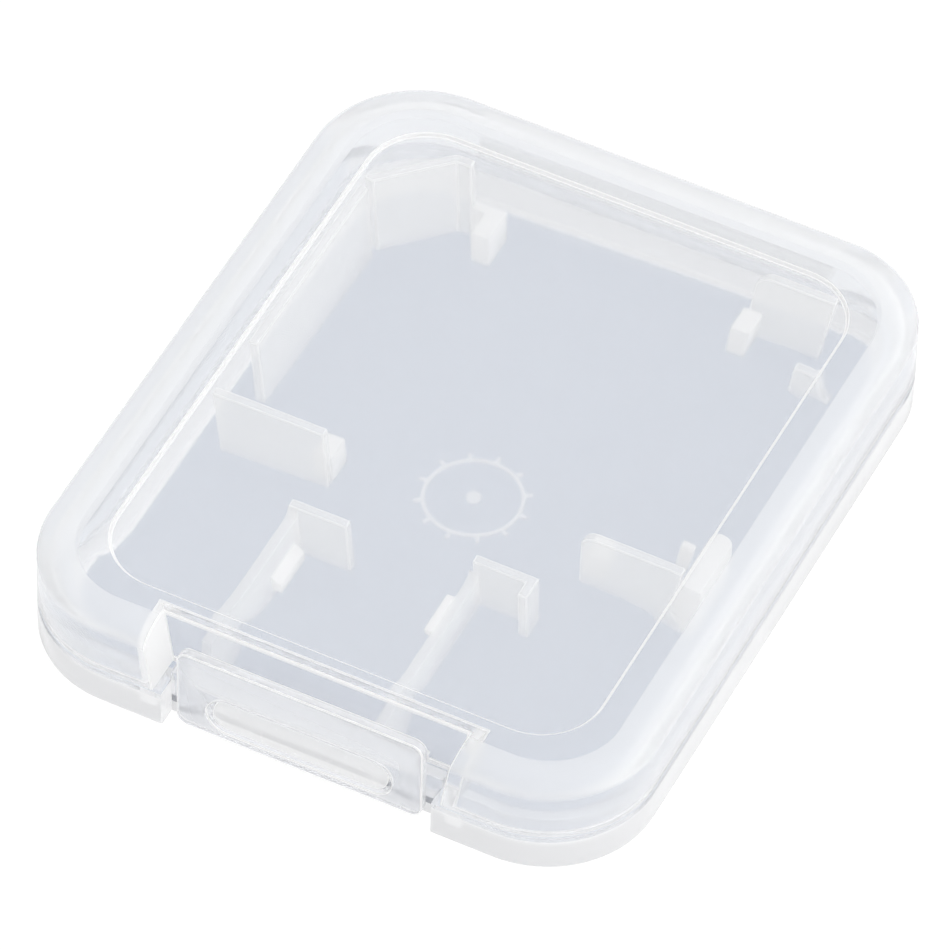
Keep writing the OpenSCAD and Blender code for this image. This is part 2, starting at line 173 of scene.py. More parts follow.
def apply_modifiers(piece):
    """Makes the result of a piece's modifiers its own mesh."""
    bpy.ops.object.select_all(action="DESELECT")
    bpy.context.view_layer.objects.active = piece
    piece.select_set(True)
    for modifier in list(piece.modifiers):
        bpy.ops.object.modifier_apply(modifier=modifier.name)


def cut(piece, tool, how="DIFFERENCE"):
    """Cuts a tool out of the piece, or joins it on, and takes the tool away."""
    boolean = piece.modifiers.new("cut", "BOOLEAN")
    boolean.operation = how
    boolean.solver = "EXACT"
    boolean.object = tool
    apply_modifiers(piece)
    bpy.data.objects.remove(tool)


# %% [markdown]
# ## Plastic
#
# Polypropylene is milky: most of the light goes through a thin wall, bent a
# little, and the rest is scattered white. The Principled shader does both, and
# Transmission Weight sets the shares: the floor is clear, the lid's shoulder is
# whiter. The walls that hold the cards are so thin that bending hardly shows, so
# a plain see-through share, Alpha, serves there. No moulding is quite even, so a
# node group adds a faint cloud and a fine grain. An image could do that too, but
# noise has no seams and needs no unwrapping.

# %% The cloud in the plastic, as a node group
def build_cloud_group():
    """Cloud is a slow change round zero, and Skin the fine grain that a mould leaves."""
    group = bpy.data.node_groups.new("plastic_cloud", "ShaderNodeTree")
    face = group.interface
    for name, kind, value in (
        ("Cloud Size", "NodeSocketFloat", 160.0),
        ("Cloud Amount", "NodeSocketFloat", 0.1),
        ("Skin Size", "NodeSocketFloat", 2200.0),
    ):
        face.new_socket(name=name, in_out="INPUT", socket_type=kind).default_value = value
    face.new_socket(name="Cloud", in_out="OUTPUT", socket_type="NodeSocketFloat")
    face.new_socket(name="Skin", in_out="OUTPUT", socket_type="NodeSocketFloat")
    nodes, links = group.nodes, group.links
    enter = nodes.new("NodeGroupInput")
    leave = nodes.new("NodeGroupOutput")
    place = nodes.new("ShaderNodeTexCoord")
    cloud = nodes.new("ShaderNodeTexNoise")
    cloud.inputs["Detail"].default_value = 4
    cloud.inputs["Distortion"].default_value = 0.6
    links.new(place.outputs["Object"], cloud.inputs["Vector"])
    links.new(enter.outputs["Cloud Size"], cloud.inputs["Scale"])
    centred = nodes.new("ShaderNodeMath")
    centred.operation = "SUBTRACT"
    centred.inputs[1].default_value = 0.5
    links.new(cloud.outputs["Fac"], centred.inputs[0])
    scaled = nodes.new("ShaderNodeMath")
    scaled.operation = "MULTIPLY"
    links.new(centred.outputs[0], scaled.inputs[0])
    links.new(enter.outputs["Cloud Amount"], scaled.inputs[1])
    links.new(scaled.outputs[0], leave.inputs["Cloud"])
    skin = nodes.new("ShaderNodeTexNoise")
    skin.inputs["Detail"].default_value = 2
    links.new(place.outputs["Object"], skin.inputs["Vector"])
    links.new(enter.outputs["Skin Size"], skin.inputs["Scale"])
    links.new(skin.outputs["Fac"], leave.inputs["Skin"])
    return group


CLOUD = build_cloud_group()
print(CLOUD.name, len(CLOUD.nodes), "nodes")

# %% [markdown]
# The render can't bend a ray on its way to a lamp, so clear plastic would throw a
# black shadow and shut the light out of the case. More samples wouldn't help.
# Instead the Light Path node lets lamp light and scattered light straight through,
# and each face keeps a little of it.

# %% The plastics
IOR = 1.49
LAMP_TINT = 0.97
TINT_SHARE = 0.6
ROUGH_SPREAD = 0.3
GRAIN_DEPTH = 0.05 * MM


def clear_plastic(name, tint, deep, clear, roughness, alpha=1.0, cloud=0.25, skin=0.04):
    """Milky plastic, whose colour wanders between tint and deep. Clear is the share
    of light that goes through and is bent, alpha what isn't simply see-through."""
    material = bpy.data.materials.new(name)
    material.use_nodes = True
    nodes, links = material.node_tree.nodes, material.node_tree.links
    shader = nodes["Principled BSDF"]
    shader.inputs["IOR"].default_value = IOR
    shader.inputs["Transmission Weight"].default_value = clear
    shader.inputs["Alpha"].default_value = alpha
    group = nodes.new("ShaderNodeGroup")
    group.node_tree = CLOUD
    group.inputs["Cloud Amount"].default_value = cloud
    colour = nodes.new("ShaderNodeMix")
    colour.data_type = "RGBA"
    colour.inputs["A"].default_value = (*deep, 1)
    colour.inputs["B"].default_value = (*tint, 1)
    shade = nodes.new("ShaderNodeMath")
    shade.operation = "ADD"
    shade.use_clamp = True
    shade.inputs[1].default_value = TINT_SHARE
    links.new(group.outputs["Cloud"], shade.inputs[0])
    links.new(shade.outputs[0], colour.inputs["Factor"])
    links.new(colour.outputs["Result"], shader.inputs["Base Color"])
    rough = nodes.new("ShaderNodeMapRange")
    rough.inputs["To Min"].default_value = roughness * (1 - ROUGH_SPREAD)
    rough.inputs["To Max"].default_value = roughness * (1 + ROUGH_SPREAD)
    links.new(group.outputs["Skin"], rough.inputs["Value"])
    links.new(rough.outputs["Result"], shader.inputs["Roughness"])
    bump = nodes.new("ShaderNodeBump")
    bump.inputs["Strength"].default_value = skin
    bump.inputs["Distance"].default_value = GRAIN_DEPTH
    links.new(group.outputs["Skin"], bump.inputs["Height"])
    links.new(bump.outputs["Normal"], shader.inputs["Normal"])
    film = nodes.new("ShaderNodeBsdfTransparent")
    film.inputs["Color"].default_value = (LAMP_TINT, LAMP_TINT, LAMP_TINT, 1)
    path = nodes.new("ShaderNodeLightPath")
    surface = shader.outputs[0]
    for ray in ("Is Diffuse Ray", "Is Shadow Ray"):
        let_through = nodes.new("ShaderNodeMixShader")
        links.new(path.outputs[ray], let_through.inputs[0])
        links.new(surface, let_through.inputs[1])
        links.new(film.outputs[0], let_through.inputs[2])
        surface = let_through.outputs[0]
    links.new(surface, nodes["Material Output"].inputs["Surface"])
    return material


PLASTIC = {
    # The tray floor's blue-grey tint is partly the plastic's own and partly painted shade: the
    # table's shadow under the case, seen through the floor.
    "tray": clear_plastic(
        "tray_plastic_with_painted_shade", (0.62, 0.66, 0.735), (0.565, 0.605, 0.69),
        clear=0.88, roughness=0.08),
    "rim": clear_plastic(
        "rim_plastic", (0.955, 0.962, 0.98), (0.91, 0.92, 0.945),
        clear=0.8, roughness=0.2),
    # The foot band is whiter and less clear than the tray: painted light that stands in for
    # the light the render loses inside the floor plate.
    "foot": clear_plastic(
        "foot_painted_light_plastic", (0.99, 0.99, 1.0), (0.96, 0.965, 0.98),
        clear=0.2, roughness=0.2),
    "wall": clear_plastic(
        "wall_plastic", (0.99, 0.99, 0.995), (0.96, 0.965, 0.975),
        clear=0.0, roughness=0.25, alpha=0.45),
    # Whiter, more opaque plastic: on the wall bevels partly a painted highlight, on the thick
    # ledges, pads and peg their milkier look all over.
    "wall_edge": clear_plastic(
        "wall_edge_highlight_and_thick_part_plastic", (1.0, 1.0, 1.0), (0.98, 0.98, 0.985),
        clear=0.0, roughness=0.2, alpha=0.75),
    # Whiter plastic for bevels and cut faces: partly the longer look through the plastic,
    # partly a painted highlight.
    "edge": clear_plastic(
        "edge_highlight_plastic", (0.99, 0.99, 0.995), (0.96, 0.965, 0.97),
        clear=0.15, roughness=0.2),
    "panel": clear_plastic(
        "panel_plastic", (0.975, 0.98, 0.99), (0.94, 0.95, 0.965),
        clear=0.87, roughness=0.1),
    "lid": clear_plastic(
        "lid_plastic", (0.975, 0.982, 0.993), (0.94, 0.952, 0.975),
        clear=0.65, roughness=0.2, cloud=0.6),
    "skirt": clear_plastic(
        "skirt_plastic", (0.95, 0.96, 0.983), (0.905, 0.922, 0.955),
        clear=0.76, roughness=0.18, cloud=0.6),
    "recess": clear_plastic(
        "recess_plastic", (0.98, 0.985, 1.0), (0.935, 0.945, 0.97),
        clear=0.85, roughness=0.12, cloud=0.6),
    "latch": clear_plastic(
        "tab_plastic", (0.925, 0.935, 0.96), (0.88, 0.895, 0.93),
        clear=0.72, roughness=0.22, cloud=0.6),
}
print(len(PLASTIC), "plastics")

# %% [markdown]
# Each piece rides a body, and the CAD nodes that it stands for are hidden.


def finish_piece(piece, body, slot, *nodes):
    """Puts a piece on its body, and hides the CAD nodes that it stands for."""
    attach(piece, body)
    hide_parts(*nodes)
    print(piece.name, len(piece.data.polygons), "faces, on", body)
    return piece


# %% [markdown]
# A mould leaves no sharp edge, and an edge looks whiter than a face, because the
# look goes through more of the plastic there and the rounded edge catches light.
# So the last step of each piece is a narrow bevel, whose faces can have a whiter
# plastic of their own: in part real thickness, in part a painted highlight.

# %% Helper for soft edges
def soften(piece, plastics, width, segments=2, angle=35):
    """Rounds the sharp edges. The last of the plastics goes on the rounded edges."""
    for plastic in plastics:
        piece.data.materials.append(PLASTIC[plastic])
    bevel = piece.modifiers.new("soften", "BEVEL")
    bevel.material = len(plastics) - 1
    bevel.width = width * MM
    bevel.segments = segments
    bevel.limit_method = "ANGLE"
    bevel.angle_limit = math.radians(angle)
    apply_modifiers(piece)
    bpy.ops.object.shade_smooth_by_angle(angle=math.radians(SMOOTH_ANGLE))


# %% [markdown]
# ## Tray
#
# The tray is one moulding, so its floor, rim and locating lip are one skin here:
# where two solids only touch, the faces between them would show through the
# clear plastic. A hollow could be cut with a Boolean, but inset and extrude keep
# the faces clean: a block gets its round corners, and its top is inset and moved
# up and down in turn, which makes the rim, the lip and the floor. Below BAND_Z,
# light that comes in at the side would run along inside the floor plate and the
# foot would look dark, so the sides of that band get a whiter, less clear plastic:
# painted light, since the real tray is one plastic there.

# %% Model the tray
RIM_T = HALF_D + node_box("base_lip")[0][1]
LIP_T = 0.7
BAND_Z = 2.5
LOWER_EDGE = 0.3
FLOOR_FILLET = 0.4
EDGE_R = 0.1


def raise_top(rise):
    """Extrudes the selected faces up, or down, in millimetres."""
    bpy.ops.mesh.extrude_region_move(TRANSFORM_OT_translate={"value": (0, 0, rise * MM)})


tray = add_block("tray_shell", (-HALF_W, -HALF_D, 0), (HALF_W, HALF_D, BAND_Z))
round_edges(tray, upright, CORNER_R, 20)
round_edges(tray, all_at_height(0), LOWER_EDGE, 3)
pick(tray, "FACE", all_at_height(BAND_Z))
raise_top(RIM_Z - BAND_Z)
bpy.ops.mesh.inset(thickness=RIM_T * MM)
raise_top(LIP_Z - RIM_Z)
bpy.ops.mesh.inset(thickness=LIP_T * MM)
raise_top(FLOOR_Z - LIP_Z)
bpy.ops.object.mode_set(mode="OBJECT")
round_edges(tray, all_at_height(FLOOR_Z), FLOOR_FILLET, 4)

# %% [markdown]
# The front of the tray is open for the latch tab. The lip stops a little short
# of the notch, and a low wall with two returns stands behind the tab. They break
# through the floor and two walls at once, so here Booleans are the short way.

# %% Cut the front notch and set in the wall behind the tab
LATCH_LOW, LATCH_HIGH = node_box("base_latch_wall")
RETURN_W = 0.8
NOTCH_HALF = LATCH_HIGH[0] - RETURN_W
LIP_END = 11.14
FRONT = -HALF_D - 1
LIP_BACK = -HALF_D + RIM_T + LIP_T + 0.01
BACKING_Y = node_box("latch_lug")[1][1]
EAR_REACH = 0.6

for low, high in (
    ((-LIP_END, -HALF_D + RIM_T, FLOOR_Z), (LIP_END, LIP_BACK, TOP_OF_ALL)),
    ((-LIP_END, FRONT, RIM_Z), (LIP_END, LIP_BACK, TOP_OF_ALL)),
    ((-NOTCH_HALF, FRONT, -1), (NOTCH_HALF, BACKING_Y, TOP_OF_ALL)),
):
    cut(tray, add_block("tool", low, high))
backing = add_block(
    "tool",
    (-NOTCH_HALF - SINK, BACKING_Y, FLOOR_Z - SINK),
    (NOTCH_HALF + SINK, LATCH_HIGH[1], LATCH_HIGH[2]),
)
cut(tray, backing, "UNION")
for side in (-1, 1):
    edges = sorted((side * NOTCH_HALF, side * LATCH_HIGH[0]))
    ear = add_block(
        "tool",
        (edges[0], LATCH_LOW[1] - EAR_REACH, FLOOR_Z - SINK),
        (edges[1], LATCH_HIGH[1], RIM_Z - 0.01),
    )
    cut(tray, ear, "UNION")
soften(tray, ("rim", "tray", "foot", "edge"), EDGE_R)
# Level faces at the floor get the tray plastic, whose tint carries painted shade.
for face in tray.data.polygons:
    level = abs(face.normal.z) > 0.95
    if level and face.center.z < (FLOOR_Z + 0.02) * MM:
        face.material_index = 1
    # The sides of the low band get the foot plastic, painted lighter.
    elif not level and face.center.z < BAND_Z * MM:
        face.material_index = 2
finish_piece(tray, "base", "tray", "base_floor", "base_rim", "base_lip", "base_latch_wall")

# %% [markdown]
# ## Card walls
#
# The walls that hold the cards are upright plates of one thickness, and the low
# ledges between them carry the card. The ledges are thick for their size, so they
# look whiter all over. Each is a block as large as its CAD node, so one helper
# makes them all, and it can't drift from the solid.

# %% Helpers for the card walls
BLOCK_EDGE_R = 0.12
RAMP_EDGE_R = 0.08
SMALL_EDGE_R = 0.06
WALL_CORNER_R = 1.0
WALL_FINISH = ("wall", "wall_edge")
SOLID_FINISH = ("wall_edge",)


def wall_from_node(name, node, round_test=None, plastics=WALL_FINISH):
    """A plate with the size of a CAD node, sunk a hair into the floor."""
    low, high = node_box(node)
    low[2] -= SINK
    piece = add_block(name, low, high)
    if round_test:
        round_edges(piece, round_test(low, high), WALL_CORNER_R, 6)
    soften(piece, plastics, EDGE_R)
    return finish_piece(piece, "base", "wall", node)


def upper_left_corner(low, high):
    """Picks the edge at the left end of the plate's top."""
    return lambda corners: all(
        abs(c.x - low[0]) < 0.01 and abs(c.z - high[2]) < 0.01 for c in corners)


# %% Model the plain walls, ledges and rib
wall_from_node("stop_wall_left", "card_stop_left")
wall_from_node("stop_wall_right", "card_stop_right", upper_left_corner)
wall_from_node("side_wall_left", "card_side_wall_left")
wall_from_node("rear_wall_right", "card_rear_wall_right", upper_left_corner)
wall_from_node("front_ledge_left", "card_ledge_front_left", plastics=SOLID_FINISH)
wall_from_node("front_ledge_right", "card_ledge_front_right", plastics=SOLID_FINISH)
wall_from_node("rear_ledge_right", "card_ledge_rear_right", plastics=SOLID_FINISH)
wall_from_node("low_rib_right", "card_rib_right")
wall_from_node("small_rear_wall_left", "small_card_rear_wall_left")

# %% [markdown]
# Some walls bend or step. The corner wall follows the cut corner of a card, and
# the rear left ledge has an L shape. They could be joined from blocks, but a prism
# over an outline has no inner faces, which clear plastic would show.

# %% Model the corner wall, the side block, the peg and the rear left ledge
WALL_T = 0.67
CORNER_LOW, CORNER_HIGH = node_box("card_corner_wall")
BAY_X0 = CORNER_LOW[0] + WALL_T
BAY_Y1 = CORNER_HIGH[1] - WALL_T
CUT = BAY_Y1 - CORNER_LOW[1]
SLANT = WALL_T * (math.sqrt(2) - 1)
corner = add_prism("corner_wall", [
    (BAY_X0, BAY_Y1 - CUT), (BAY_X0 + CUT, BAY_Y1),
    (CORNER_HIGH[0], BAY_Y1), (CORNER_HIGH[0], CORNER_HIGH[1]),
    (BAY_X0 + CUT - SLANT, CORNER_HIGH[1]), (CORNER_LOW[0], BAY_Y1 - CUT + SLANT),
    (CORNER_LOW[0], BAY_Y1 - CUT),
], "z", FLOOR_Z - SINK, CORNER_HIGH[2])
soften(corner, WALL_FINISH, EDGE_R)
finish_piece(corner, "base", "wall", "card_corner_wall")

low, high = node_box("card_side_block_right")
block = add_block("side_block_right", (low[0], low[1], FLOOR_Z - SINK), high)
round_edges(
    block, lambda c: upright(c) and c[0].y > high[1] - 0.01, (high[0] - low[0]) / 2 - 0.01, 6)
soften(block, SOLID_FINISH, BLOCK_EDGE_R)
finish_piece(block, "base", "wall", "card_side_block_right")

low, high = node_box("card_peg_right")
peg = add_block("peg_right", (low[0], low[1], FLOOR_Z - SINK), high)
on_top = all_at_height(high[2])
round_edges(
    peg, lambda c: on_top(c) and abs(c[0].y - c[1].y) < 0.01, (high[1] - low[1]) / 2 - 0.01, 5)
soften(peg, SOLID_FINISH, SMALL_EDGE_R)
finish_piece(peg, "base", "wall", "card_peg_right")

low, high = node_box("card_ledge_rear_left")
LEDGE_W = 1.35
ledge = add_prism("rear_ledge_left", [
    (high[0] - LEDGE_W, low[1]), (high[0], low[1]), (high[0], high[1]), (low[0], high[1]),
    (low[0], BAY_Y1), (high[0] - LEDGE_W, BAY_Y1),
], "z", FLOOR_Z - SINK, high[2])
soften(ledge, SOLID_FINISH, EDGE_R)
finish_piece(ledge, "base", "wall", "card_ledge_rear_left")

# %% [markdown]
# The small bay lies at the front. Its side walls run low towards the latch and end
# in a hollow ramp, seen from the side, and a sloped pad on each carries the card.
# A prism along X takes such an outline as it is.

# %% Model the side walls, pads and rear wall of the small bay
def ramp_outline(low, high, top, foot_top, tall_y):
    """Side of a wall: low at the front, level, then a hollow ramp up to the rear."""
    size = high[2] - top
    turns = [math.radians(a) for a in range(90, -1, -15)]
    ramp = [
        (high[1] - size + size * math.sin(a), top + size * (1 - math.cos(a))) for a in turns
    ]
    foot = [(low[1], FLOOR_Z - SINK), (high[1], FLOOR_Z - SINK)]
    return foot + ramp + [(tall_y, top), (tall_y, foot_top), (low[1], foot_top)]


FOOT_TOP = FLOOR_Z + 1.8
TALL_Y = node_box("lid_latch_wall")[1][1] + 0.2
RAMP = 0.75
PAD_SLOPE = 0.64
PAD_FALL = 1.5
RAIL_PAD_FALL = 0.45
for name, node in (
    ("small_wall_left", "small_card_left_wall"),
    ("small_low_rail", "small_card_rail"),
):
    low, high = node_box(node)
    outline = ramp_outline(low, high, high[2] - RAMP, FOOT_TOP, TALL_Y)
    side = add_prism(name, outline, "x", low[0], high[0])
    soften(side, WALL_FINISH, RAMP_EDGE_R)
    finish_piece(side, "base", "wall", node)

low, high = node_box("small_card_left_pad")
pad = add_prism("small_pad_left", [
    (low[0] - SINK, low[2]), (high[0], high[2] - PAD_FALL),
    (high[0], high[2] - PAD_SLOPE), (low[0] - SINK, high[2]),
], "y", low[1], high[1])
soften(pad, SOLID_FINISH, SMALL_EDGE_R)
finish_piece(pad, "base", "wall", "small_card_left_pad")

low, high = node_box("small_card_rail_pad")
pad = add_prism("small_pad_right", [
    (high[0] + SINK, low[2]), (high[0] + SINK, high[2]),
    (low[0], high[2]), (low[0], low[2] + RAIL_PAD_FALL),
], "y", low[1], high[1])
soften(pad, SOLID_FINISH, SMALL_EDGE_R)
finish_piece(pad, "base", "wall", "small_card_rail_pad")

low, high = node_box("small_card_rear_wall_right")
angle = add_prism("small_rear_wall_right", [
    (low[0], high[1] - WALL_T), (high[0] - WALL_T, high[1] - WALL_T),
    (high[0] - WALL_T, low[1]), (high[0], low[1]),
    (high[0], high[1]), (low[0], high[1]),
], "z", FLOOR_Z - SINK, high[2])
soften(angle, WALL_FINISH, EDGE_R)
finish_piece(angle, "base", "wall", "small_card_rear_wall_right")

# %% [markdown]
# ## Lid
#
# The lid is a shallow shell with a soft shoulder: a quarter ellipse, broad on
# top and low at the side. A block's top is inset in small steps that each rise a
# little less. The hollow is cut with a tool made the same way, so the wall keeps
# its thickness round the shoulder.

# %% Helpers for a domed block and for the recess
SHOULDER_STEP = 10
LEAN = 0.145


def add_dome(name, inset, z0, z1, radius, shoulder, height):
    """A block with round corners, whose top ends in a quarter ellipse: shoulder wide
    and height high."""
    x, y = HALF_W - inset, HALF_D - inset
    piece = add_block(name, (-x, -y, z0), (x, y, z1))
    round_edges(piece, upright, radius, 20)
    pick(piece, "FACE", all_at_height(z1))
    steps = [math.radians(a) for a in range(0, 91, SHOULDER_STEP)]
    for a, b in zip(steps, steps[1:]):
        bpy.ops.mesh.inset(
            thickness=shoulder * (math.cos(a) - math.cos(b)) * MM,
            depth=height * (math.sin(b) - math.sin(a)) * MM,
        )
    bpy.ops.object.mode_set(mode="OBJECT")
    return piece


def add_recess(name, half, rear):
    """A block at the front whose sides lean outwards, half wide at the skirt's foot."""
    low, high = half + LEAN * (-1 - SKIRT_Z), half + LEAN * (TOP_OF_ALL - SKIRT_Z)
    outline = [(-low, -1), (low, -1), (high, TOP_OF_ALL), (-high, TOP_OF_ALL)]
    return add_prism(name, outline, "y", FRONT, rear)


# %% [markdown]
# At the front the lid has a recess for the tab, with walls of its own, and at the
# rear a slot for the hinge strip. The tool that hollows the lid is cut first, by a
# wider recess, and what it leaves standing is the recess wall and its two cheeks.

# %% Model the lid
SKIRT_T = 1.0
SHOULDER_W = 2.4
INNER_W, INNER_H = 1.65, 0.8
CHEEK_T = 0.9
LID_EDGE_R = 0.14
RECESS_LOW, RECESS_HIGH = node_box("lid_latch_wall")
LID_NOTCH_HALF = -node_box("lid_cheek_left")[1][0]

lid = add_dome("lid_shell", 0, SKIRT_Z, UNDER_Z, CORNER_R, SHOULDER_W, LID_Z - UNDER_Z)
hollow = add_dome(
    "tool", SKIRT_T, SKIRT_Z - 1, UNDER_Z - INNER_H, CORNER_R - SKIRT_T, INNER_W, INNER_H)
cut(hollow, add_recess("tool_2", LID_NOTCH_HALF + CHEEK_T, RECESS_HIGH[1]))
cut(lid, hollow)
cut(lid, add_recess("tool", LID_NOTCH_HALF, RECESS_LOW[1]))
HINGE_LOW, HINGE_HIGH = node_box("base_hinge_strip")
HINGE_END = 0.2
HINGE_GAP = 0.1
hinge_slot = add_block(
    "tool",
    (HINGE_LOW[0] - HINGE_END, HINGE_LOW[1] - 0.01, -1),
    (HINGE_HIGH[0] + HINGE_END, HALF_D + 1, HINGE_HIGH[2] + HINGE_GAP),
)
cut(lid, hinge_slot)
print("lid", len(lid.data.polygons), "faces, with recess and hinge slot")

# %% [markdown]
# The label panel in the middle of the lid is sunk a little. Its edge is the thin
# bright line that runs all round the top, drawn by the bevel's whiter edge plastic,
# in part a painted highlight. The bevel leaves some faces of no width, which are
# dissolved. The shoulder keeps the first plastic. The flat top, the wall of the
# recess and the upright skirt are clearer, and the two cheeks beside the tab get
# the edge plastic too, a painted highlight on their cut faces.

# %% Sink the label panel
PANEL_LOW, PANEL_HIGH = node_box("lid_panel")
PANEL_CORNER_R = 4.2
CHEEK_REACH = 1.5
panel_tool = add_block(
    "tool", (PANEL_LOW[0], PANEL_LOW[1], PANEL_Z), (PANEL_HIGH[0], PANEL_HIGH[1], TOP_OF_ALL))
round_edges(panel_tool, upright, PANEL_CORNER_R, 12)
cut(lid, panel_tool)
soften(lid, ("lid", "panel", "recess", "skirt", "edge"), LID_EDGE_R)
pick(lid, "FACE", lambda corners: True)
bpy.ops.mesh.dissolve_degenerate(threshold=0.002 * MM)
bpy.ops.object.mode_set(mode="OBJECT")
for face in lid.data.polygons:
    turned, place = face.normal, face.center / MM
    across = abs(place.x)
    if abs(turned.z) > 0.9999 and place.z > UNDER_Z - 0.02:
        face.material_index = 1
    elif (abs(turned.y) > 0.95 and across < LID_NOTCH_HALF
            and RECESS_LOW[1] - 0.1 < place.y < RECESS_HIGH[1] + 0.1):
        face.material_index = 2
    # The cheeks' cut faces get the edge plastic, a painted highlight.
    elif abs(turned.x) > 0.95 and across < LID_NOTCH_HALF + CHEEK_REACH:
        face.material_index = 4
    elif abs(turned.z) < 0.01 and face.material_index == 0:
        face.material_index = 3
finish_piece(
    lid, "lid", "lid", "lid_top", "lid_panel", "lid_skirt",
    "lid_latch_wall", "lid_cheek_left", "lid_cheek_right")

# %% [markdown]
# ## Latch and hinge
#
# The latch tab hangs on a thin strip that flexes, and has a window with round
# ends.

# %% Model the tab, its window and the flexing strip
TAB_LOW, TAB_HIGH = node_box("latch_tab")
TAB_CORNER_R = 0.8
STRIP_EDGE_R = 0.04
tab = add_block("latch_plate", TAB_LOW, TAB_HIGH)
round_edges(tab, along_y, TAB_CORNER_R, 8)
WINDOW_HALF, WINDOW_LOW, WINDOW_HIGH = 6.35, 1.1, 3.9
window = add_block(
    "tool",
    (-WINDOW_HALF, TAB_LOW[1] - 1, WINDOW_LOW),
    (WINDOW_HALF, TAB_HIGH[1] + 1, WINDOW_HIGH),
)
round_edges(window, along_y, (WINDOW_HIGH - WINDOW_LOW) / 2 - 0.01, 8)
cut(tab, window)
soften(tab, ("latch", "edge"), EDGE_R)
finish_piece(tab, "latch", "latch", "latch_tab")

low, high = node_box("latch_web")
web = add_block(
    "flexing_strip", (low[0], low[1] - SINK, low[2]), (high[0], high[1] + SINK, high[2]))
soften(web, ("wall",), STRIP_EDGE_R)
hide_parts("latch_web")
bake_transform(web)

# %% [markdown]
# The window snaps over a lug in the base. The lug's lower part stands upright and
# holds, and its upper part slopes, so that the tab can slide down over it. The
# slope is cut on a block with round ends.

# %% Model the lug
LUG_LOW, LUG_HIGH = node_box("latch_lug")
LUG_LAND = 0.7
SLOPE_END = LUG_HIGH[1] - 0.3
lug = add_block("snap_lug", LUG_LOW, (LUG_HIGH[0], LUG_HIGH[1] + SINK, LUG_HIGH[2]))
round_edges(lug, along_y, (LUG_HIGH[2] - LUG_LOW[2]) / 2 - 0.01, 8)
slope = add_prism("tool", [
    (LUG_LOW[1] - 1, LUG_LOW[2] + LUG_LAND), (LUG_LOW[1], LUG_LOW[2] + LUG_LAND),
    (SLOPE_END, LUG_HIGH[2]), (SLOPE_END, LUG_HIGH[2] + 1), (LUG_LOW[1] - 1, LUG_HIGH[2] + 1),
], "x", LUG_LOW[0] - 1, LUG_HIGH[0] + 1)
cut(lug, slope)
soften(lug, WALL_FINISH, SMALL_EDGE_R)
finish_piece(lug, "base", "rim", "latch_lug")

# %% [markdown]
# At the rear a thin strip joins the tray and the lid. It is drawn as it lies when
# the case is closed, as half a ring, with a step every 15 degrees along the arc so
# that it looks smooth.

# %% Model the hinge strips
strip = add_block("rear_hinge_strip", (HINGE_LOW[0], HINGE_LOW[1], RIM_Z - SINK), HINGE_HIGH)
soften(strip, ("rim", "edge"), SMALL_EDGE_R)
finish_piece(strip, "base", "rim", "base_hinge_strip")

FILM_LOW, FILM_HIGH = node_box("hinge_film")
FILM_T = 0.2
HINGE_Z = (FILM_LOW[2] + FILM_HIGH[2]) / 2
OUTER_R = (FILM_HIGH[2] - FILM_LOW[2]) / 2
arc = [math.radians(a) for a in range(-90, 91, 15)]
INNER_R = OUTER_R - FILM_T
outer, inner = (
    [(HALF_D + r * math.cos(a), HINGE_Z + r * math.sin(a)) for a in arc]
    for r in (OUTER_R, INNER_R)
)
film = add_prism("bending_strip", outer + inner[::-1], "x", FILM_LOW[0], FILM_HIGH[0])
bpy.ops.object.shade_smooth_by_angle(angle=math.radians(SMOOTH_ANGLE))
film.data.materials.append(PLASTIC["wall_edge"])
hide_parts("hinge_film")
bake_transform(film)
print("strips at the hinge, inner radius", round(INNER_R, 3), "mm")

# %% [markdown]
# ## Mark on the floor
#
# The mould leaves a low raised mark on the floor. Here it is a plain ring with
# short strokes, thin enough to show only as a fine line. It is real relief and not
# bump, so it also shows at a low view.

# %% Model the mark
MARK_LOW, MARK_HIGH = node_box("mould_mark")
MARK_R = (MARK_HIGH[0] - MARK_LOW[0]) / 2
MARK_Y = (MARK_HIGH[1] + MARK_LOW[1]) / 2
LINE = 0.25
STROKES = 12
MARK_EDGE_R = 0.03


def add_disc(name, radius, low, high):
    """A round plate at the mark's place."""
    bpy.ops.object.select_all(action="DESELECT")
    bpy.ops.mesh.primitive_cylinder_add(
        vertices=64, radius=radius * MM, depth=(high - low) * MM,
        location=(0, MARK_Y * MM, (low + high) / 2 * MM))
    disc = bpy.context.active_object
    disc.name = disc.data.name = name
    bpy.ops.object.transform_apply(location=True, rotation=True, scale=True)
    return disc


mark = add_disc("floor_mark_ring", MARK_R - 2 * LINE, FLOOR_Z - SINK, MARK_HIGH[2])
cut(mark, add_disc("tool", MARK_R - 3 * LINE, 0, TOP_OF_ALL))
centre = Vector((0, MARK_Y * MM, 0))
for i in range(STROKES):
    stroke = add_block("tool", (MARK_R - 2.5 * LINE, MARK_Y - LINE / 2, FLOOR_Z - SINK),
                       (MARK_R, MARK_Y + LINE / 2, MARK_HIGH[2]))
    turn = Matrix.Rotation(math.radians(360 / STROKES * i), 4, "Z")
    stroke.data.transform(Matrix.Translation(centre) @ turn @ Matrix.Translation(-centre))
    cut(mark, stroke, "UNION")
cut(mark, add_disc("tool", 2 * LINE, FLOOR_Z - SINK, MARK_HIGH[2]), "UNION")
soften(mark, ("wall",), MARK_EDGE_R, segments=1)
finish_piece(mark, "base", "mark", "mould_mark")

# %% [markdown]
# ## Floor, light and camera
#
# The case lies on a white table. To a ray from the camera, also one that comes
# through clear plastic, the table adds some light of its own, so it stays white
# and still keeps part of the shadow. To the light that falls on the case it is
# plain white card.

